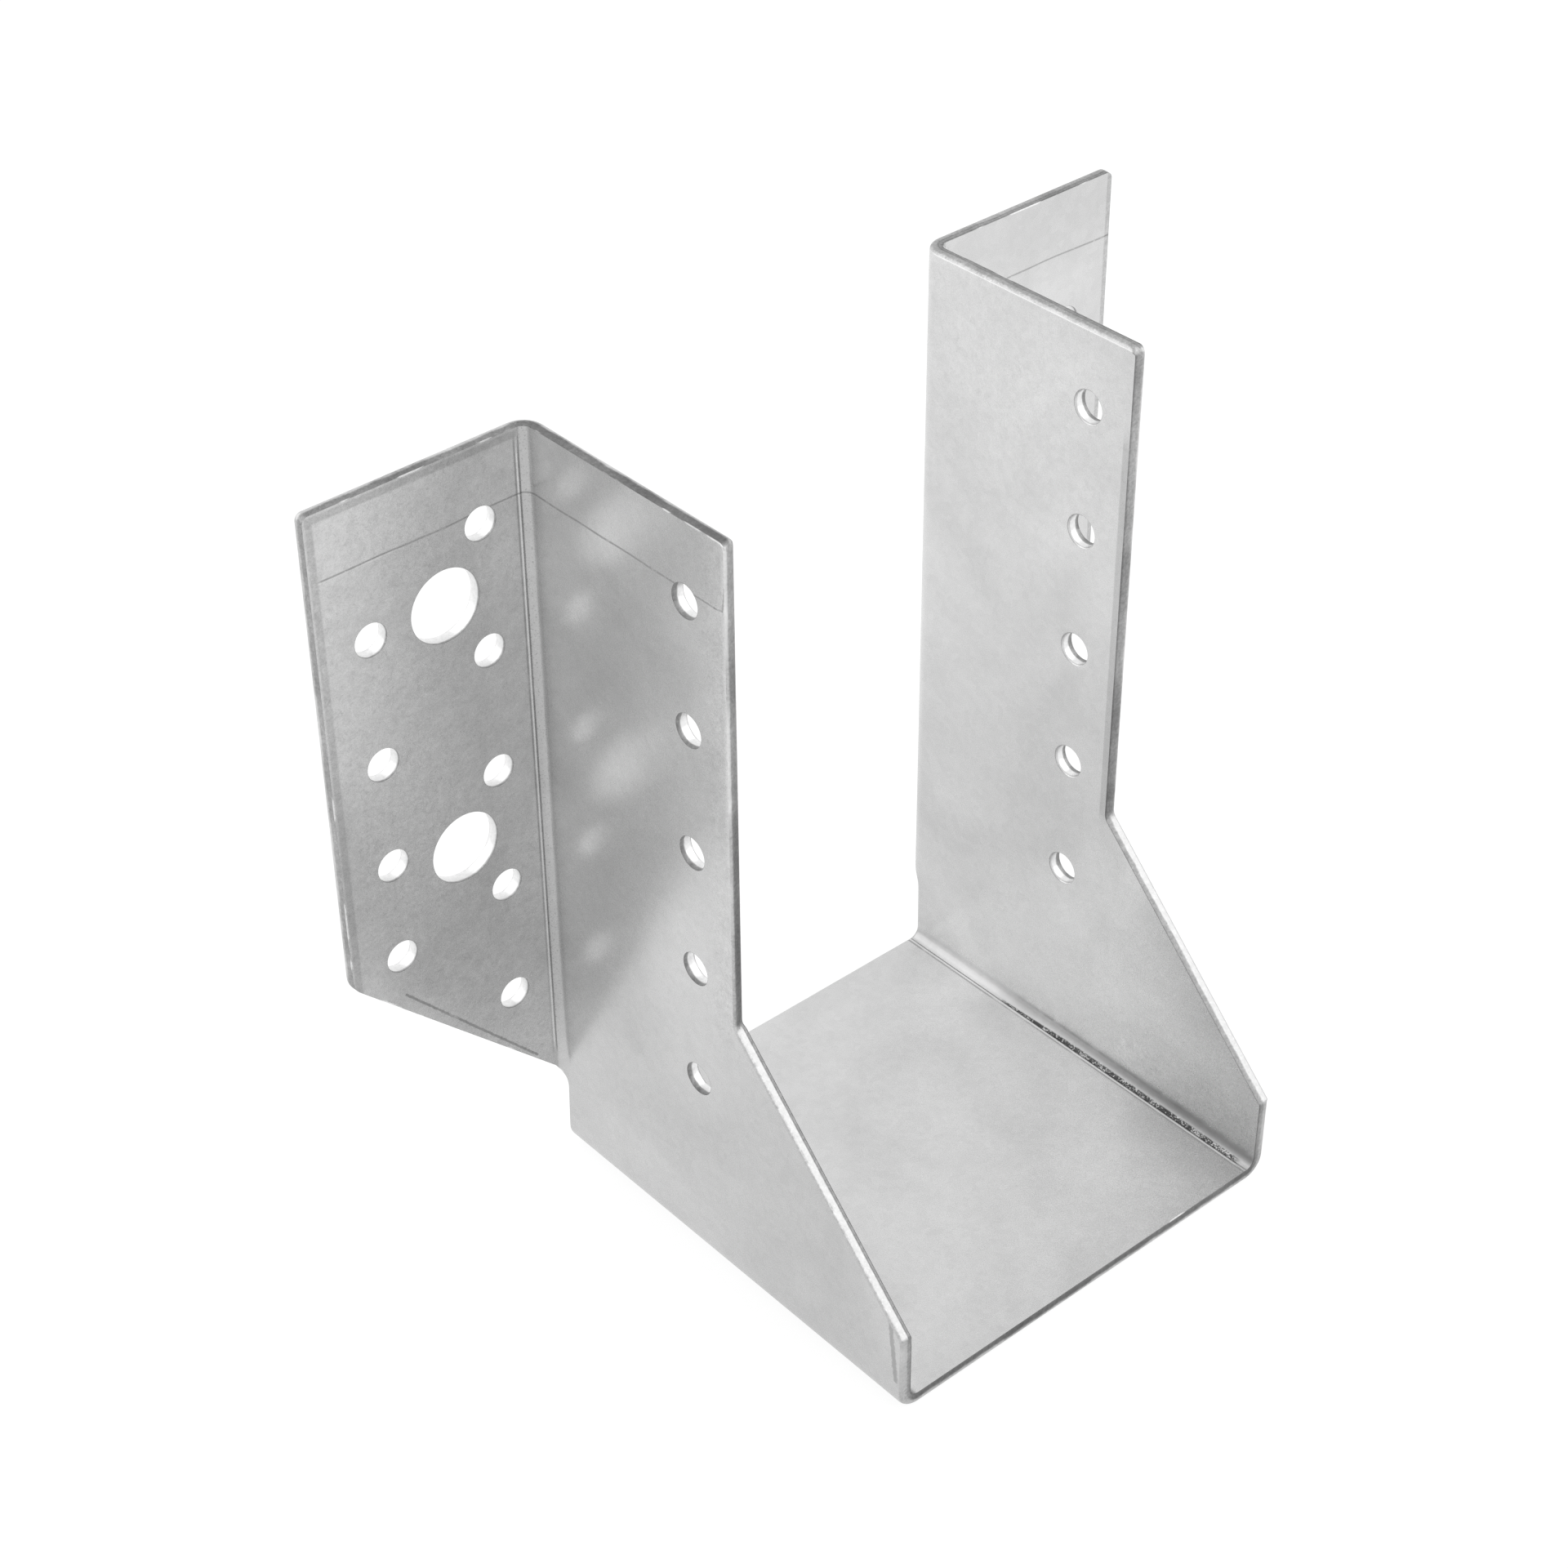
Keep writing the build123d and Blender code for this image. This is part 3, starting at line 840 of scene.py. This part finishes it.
def strokesDark(s):
    # the scribed line and the strokes: a stroke's distance is to its nearest point between its ends
    w = s.w
    wobble = (s.pattern("wobble") - 0.5) * scribeLook["wobble"]
    scribe = (s.a + wobble).near(scribeU, scribeLook["half"]) * s.outer * s.along("scribeV")
    scribe = scribe * (1 - s.left * s.inFromEdge.between(*fromEdge["scribeEnd"]))
    dark = scribe * s.grain.between(*cuts["scribeGrain"]) * scribeLook["dark"]
    for stroke in strokes.values():
        start, end = (np.array(p) for p in stroke["ends"])
        run, half = end - start, stroke["half"]
        fromStart = w.vector("SUBTRACT", s.flatUv, (*start, 0))
        share = w.vector("DOT_PRODUCT", fromStart, (*(run / (run * run).sum()), 0)).clamped()
        nearestWay = w.vector("SCALE", (*run, 0), scale=share)
        away = w.vector("LENGTH", w.vector("SUBTRACT", fromStart, nearestWay))
        ragged = away + (s.grain - 0.5) * (strokeEdge["ragged"] * half)
        on = ragged.between(strokeEdge["empty"] * half, strokeEdge["full"] * half) * s.outer
        dark = dark + on * s.patches.between(*cuts["strokePatches"]) * stroke["dark"]
    return dark


def bareEdge(s, edgeTone):
    # the cut edges' bare metal, smoother where it is light
    look = edgeZinc
    calm = 1 - edgeTone.between(*cuts["edgeTone"]) * look["calm"]
    texture = ((s.grain - 0.5) * look["grain"] + (s.fine - 0.5) * look["fine"]) * calm
    return edgeTone * (look["tone"] + texture) + s.pits.between(*cuts["edgePits"]) * look["pitPale"]


def makeZinc():
    material, w = newMaterial("galvanisedZinc")
    s = SheetSignals(w)
    pitted = s.along("pitsV") * s.along("pitsEndV") * s.outer * s.up("upBendA")
    onSeatBend = s.inner * s.a.near(seatHalf + seatBendMiddle * bendLength, seatBendReach * bendLength)
    smudge, dark = smudged(s), strokesDark(s)
    tone = zincTone(s) * flangeFactors(s) * plateFactors(s, pitted)
    tone = withCreases(s, tone) * seatBendFactors(s, onSeatBend, smudge) * (1 - dark)

    edgeTone, edgeCover = w.attribute("edgeTone"), w.attribute("edgeCover")
    torn = (s.grain - 0.5) * edgeZinc["coverGrain"] * edgeCover.between(*cuts["coverEdge"])
    cover = (edgeCover + torn).between(*cuts["cover"])
    tone = tone * (1 - cover) + bareEdge(s, edgeTone) * cover

    look = surface
    rough = look["rough"] + (s.grain - 0.5) * (2 * look["roughGrain"]) + onSeatBend * look["bendRough"]
    rough = rough + (smudge + dark).clamped() * look["markRough"]
    rough = rough * (1 - cover) + cover * look["edgeRough"]
    high = (s.grain - 0.5) * look["grainHigh"] + (s.fine - 0.5) * (look["grainHigh"] * look["fineShare"])
    high = high + (s.clouds - 0.5) * (2 * look["waveHigh"]) + s.pits * pitted * look["pitHigh"]
    bump = w.add("ShaderNodeBump", {}, {"Strength": 1.0, "Distance": look["bumpDistance"], "Height": high})
    shader = w.add("ShaderNodeBsdfPrincipled", {}, {
        "Base Color": w.grey(tone), "Roughness": rough, "Metallic": 1.0, "Normal": bump.outputs[0]})
    w.add("ShaderNodeOutputMaterial", {}, {"Surface": shader.outputs[0]})
    return material


sheetPiece.data.materials.append(makeZinc())
print("zinc done")

# The floor and the light around.
studio = dict(
    floorHalf=3.0, floorDrop=0.0002, floorTone=0.8,
    # how far the floor shows a plain white glow instead of its shaded tone
    cameraShare=0.8, cameraGlow=1.1,
    # seen in reflections, the floor's glow is dimmer near the hanger: a painted shadow round it
    glossyShare=0.8, nearGlow=0.95, farGlow=1.12, nearReach=0.07, farReach=0.14,
    around=0.9, seen=1.03,
)
# Square lights: the way to each from the hanger, its distance and size in metres, and its power.
lamps = dict(
    keyLight=dict(direction=(0.5, -0.6, 0.75), distance=1.3, size=1.6, power=6.5),
    backLight=dict(direction=(-0.55, 0.7, 0.6), distance=1.4, size=1.6, power=5.0),
)


def rays(w):
    # camera rays, and those that come by reflection or through something clear
    lightPath = w.add("ShaderNodeLightPath", {}, {})
    kinds = ("Is Camera Ray", "Is Glossy Ray", "Is Transmission Ray")
    camera, glossy, transmitted = (Signal(w, lightPath.outputs[kind]) for kind in kinds)
    return camera, glossy.op("MAXIMUM", transmitted)


def makeFloor():
    half, z = studio["floorHalf"], -studio["floorDrop"]
    floorMesh = bpy.data.meshes.new("floor")
    floorCorners = [(x * half, y * half, z) for x, y in ((-1, -1), (1, -1), (1, 1), (-1, 1))]
    floorMesh.from_pydata(floorCorners, [], [(0, 1, 2, 3)])
    floor = bpy.data.objects.new("floor", floorMesh)
    bpy.context.scene.collection.objects.link(floor)
    material, w = newMaterial("paleFloor")
    tone = studio["floorTone"]
    camera, reflected = rays(w)
    place = w.add("ShaderNodeTexCoord", {}, {}).outputs["Object"]
    # the glow seen in reflections is dimmer near the hanger: a painted shadow round it
    far = w.vector("LENGTH", place).between(studio["nearReach"], studio["farReach"])
    reflectedGlow = studio["nearGlow"] + far * (studio["farGlow"] - studio["nearGlow"])
    strength = camera * studio["cameraGlow"] + (1 - camera) * reflectedGlow
    share = camera * studio["cameraShare"] + reflected * studio["glossyShare"]
    plain = w.add("ShaderNodeBsdfDiffuse", {}, {"Color": (tone, tone, tone, 1)})
    glow = w.add("ShaderNodeEmission", {}, {"Color": (1, 1, 1, 1), "Strength": strength})
    mix = w.add("ShaderNodeMixShader", {}, {0: share, 1: plain.outputs[0], 2: glow.outputs[0]})
    w.add("ShaderNodeOutputMaterial", {}, {"Surface": mix.outputs[0]})
    floorMesh.materials.append(material)


def makeWorld():
    world = bpy.data.worlds.new("studio")
    bpy.context.scene.world = world
    world.use_nodes = True
    w = Wiring(world.node_tree)
    camera, reflected = rays(w)
    strength = studio["around"] + camera.op("MAXIMUM", reflected) * (studio["seen"] - studio["around"])
    sky = w.add("ShaderNodeBackground", {}, {"Color": (1, 1, 1, 1), "Strength": strength})
    w.add("ShaderNodeOutputWorld", {}, {"Surface": sky.outputs[0]})


def placed(right, up, back, place):
    # the matrix of a light or camera: its three axes and its place are the columns
    turned = Matrix.Identity(4)
    for column, values in enumerate((right, up, back, place)):
        for row in range(3):
            turned[row][column] = values[row]
    return turned


def softLight(name, direction, distance, size, power):
    # a square light that faces the middle of the hanger
    back = np.array(direction, float) / np.linalg.norm(direction)
    middle = np.array([0, 0, height / 2]) * toMetres
    lamp = bpy.data.lights.new(name, "AREA")
    lamp.shape = "SQUARE"
    lamp.size = size
    lamp.energy = power
    body = bpy.data.objects.new(name, lamp)
    right = np.cross((0, 0, 1), back)
    right /= np.linalg.norm(right)
    body.matrix_world = placed(right, np.cross(back, right), back, middle + back * distance)
    bpy.context.scene.collection.objects.link(body)


makeFloor()
makeWorld()
for lampName, lamp in lamps.items():
    softLight(lampName, **lamp)

# The camera, as it stood for the photograph: angles in degrees, lengths in metres,
# and the focal length and picture centre in pixels of a frame 1920 wide and high.
photoView = dict(
    azimuth=-38.83, elevation=36.40, roll=-1.79, distance=0.4994,
    target=(0.0042, 0.0562, 0.0375), focal=3909.3, centre=(838.8, 952.1), frame=1920,
    sensor=36.0, nearest=0.01)


def makeCamera():
    view = photoView
    az, el, roll = (radians(view[k]) for k in ("azimuth", "elevation", "roll"))
    back = np.array([sin(az) * cos(el), -cos(az) * cos(el), sin(el)])
    right = np.cross(-back, (0, 0, 1))
    right /= np.linalg.norm(right)
    up = np.cross(right, -back)
    right, up = right * cos(roll) + up * sin(roll), up * cos(roll) - right * sin(roll)
    place = np.array(view["target"]) + back * view["distance"]
    lens = bpy.data.cameras.new("photoCamera")
    lens.sensor_width = view["sensor"]
    lens.lens = view["focal"] / view["frame"] * view["sensor"]
    lens.shift_x = (view["frame"] / 2 - view["centre"][0]) / view["frame"]
    lens.shift_y = (view["centre"][1] - view["frame"] / 2) / view["frame"]
    lens.clip_start = view["nearest"]
    camera = bpy.data.objects.new("photoCamera", lens)
    camera.matrix_world = placed(right, up, back, place)
    bpy.context.scene.collection.objects.link(camera)
    bpy.context.scene.camera = camera


makeCamera()
bpy.context.scene.view_settings.view_transform = "Standard"
print("studio and camera done")
